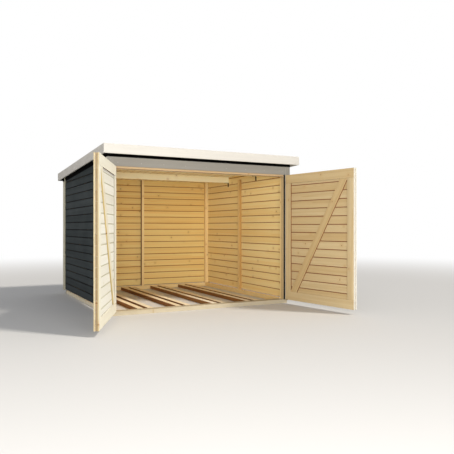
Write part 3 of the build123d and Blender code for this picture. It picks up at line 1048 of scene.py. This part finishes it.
def roofClouts():
    low, high = roofBox("roof_cover")
    up = roof.to_3x3() @ Vector((0, 0, 1))
    top = low.z + felt["thickness"] + felt["wave"]
    side, bottom = high.x - clouting["edge"], high.y - clouting["edge"]
    downSlope = between(low.y + clouting["top"], bottom, clouting["perSide"])
    alongEaves = between(low.x + clouting["corner"], high.x - clouting["corner"], clouting["alongEaves"])
    spots = [(sign * side, y) for sign in (-1, 1) for y in downSlope] + [(x, bottom) for x in alongEaves]
    places = [(roof @ Vector((x, y, top)), up) for x, y in spots]
    setHeads("felt_clouts", "root", "clout", screwSteel, places)


boardNails()
trimScrews()
for side in ("left", "right"):
    leafScrews(side)
    hingeBolts(side)
steelScrews()
roofClouts()
print("fasteners set")

# Camera where the photograph was taken from, level and turned to the right
camera = {
    "place": (-3.145, -6.706, 1.107), "turn": -27.56, "lens": 43.23, "sensor": 36.0,
    "near": 0.1, "far": 200,
}


def makeCamera():
    data = bpy.data.cameras.new("camera")
    data.lens, data.sensor_width = camera["lens"], camera["sensor"]
    data.clip_start, data.clip_end = camera["near"], camera["far"]
    eye = bpy.data.objects.new("camera", data)
    eye.location = camera["place"]
    eye.rotation_euler = (radians(90), 0, radians(camera["turn"]))
    scene.collection.objects.link(eye)
    scene.camera = eye


def seenRay(tree):  # 1 for what the camera, a reflection or a window shows
    rays = add(tree, "LightPath").outputs
    both = calc(tree, "MAXIMUM", rays["Is Camera Ray"], rays["Is Glossy Ray"])
    return calc(tree, "MAXIMUM", both, rays["Is Transmission Ray"])


# Plain pale floor that fades to white round the shed
floorLook = {"size": 80.0, "tone": "d6d4d0", "roughness": 0.9, "fade": (5.0, 15.0)}


def makeFloor():
    bm = bmesh.new()
    bmesh.ops.create_grid(bm, x_segments=1, y_segments=1, size=floorLook["size"] / 2)
    mesh = bpy.data.meshes.new("floor")
    bm.to_mesh(mesh)
    bm.free()
    floor = bpy.data.objects.new("floor", mesh)
    scene.collection.objects.link(floor)
    material, tree, shader = newMaterial("paleFloor")
    shader.inputs["Base Color"].default_value = colour(floorLook["tone"])
    shader.inputs["Roughness"].default_value = floorLook["roughness"]
    away = add(tree, "VectorMath", {0: objectPlace(tree)}, operation="LENGTH").outputs["Value"]
    faded = times(tree, spread(tree, away, *floorLook["fade"]), seenRay(tree))
    white = add(tree, "Emission", {"Color": (1, 1, 1, 1), "Strength": 1.0})
    blend = add(tree, "MixShader", {0: faded, 1: shader.outputs[0], 2: white.outputs[0]})
    tree.links.new(blend.outputs[0], tree.nodes["Material Output"].inputs["Surface"])
    mesh.materials.append(material)
    floor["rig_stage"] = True


# A soft sun from the right, a wide softbox from the left and a pale sky
sunLook = {"from": (0.58, -0.66, 0.95), "strength": 2.2, "angle": 8.0, "tint": "fffaf2"}
boxLook = {"place": (-3.6, -8.6, 1.7), "aim": (0.2, 1.6, 1.0), "size": (7.5, 3.0), "power": 680.0}
skyLook = {"strength": 0.40, "tint": "f4f7ff"}


def makeSun():
    data = bpy.data.lights.new("sun", "SUN")
    data.energy, data.angle = sunLook["strength"], radians(sunLook["angle"])
    data.color = colour(sunLook["tint"])[:3]
    sun = bpy.data.objects.new("sun", data)
    sun.rotation_euler = Vector(sunLook["from"]).to_track_quat("Z", "Y").to_euler()
    scene.collection.objects.link(sun)


def makeSoftbox():
    data = bpy.data.lights.new("softbox", "AREA")
    data.shape, data.size, data.size_y = "RECTANGLE", *boxLook["size"]
    data.energy = boxLook["power"]
    box = bpy.data.objects.new("softbox", data)
    box.location = boxLook["place"]
    aim = Vector(boxLook["place"]) - Vector(boxLook["aim"])
    box.rotation_euler = aim.to_track_quat("Z", "Y").to_euler()
    scene.collection.objects.link(box)


def makeSky():
    world = bpy.data.worlds.new("studio")
    world.use_nodes = True
    scene.world = world
    tree = world.node_tree
    sky = tree.nodes["Background"]
    sky.inputs["Color"].default_value = colour(skyLook["tint"])
    sky.inputs["Strength"].default_value = skyLook["strength"]
    white = add(tree, "Background", {"Color": (1, 1, 1, 1), "Strength": 1.0})
    blend = add(tree, "MixShader", {0: seenRay(tree), 1: sky.outputs[0], 2: white.outputs[0]})
    tree.links.new(blend.outputs[0], tree.nodes["World Output"].inputs["Surface"])


makeCamera()
makeFloor()
makeSun()
makeSoftbox()
makeSky()
scene.view_settings.view_transform = "Standard"
print("studio set")

low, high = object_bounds()
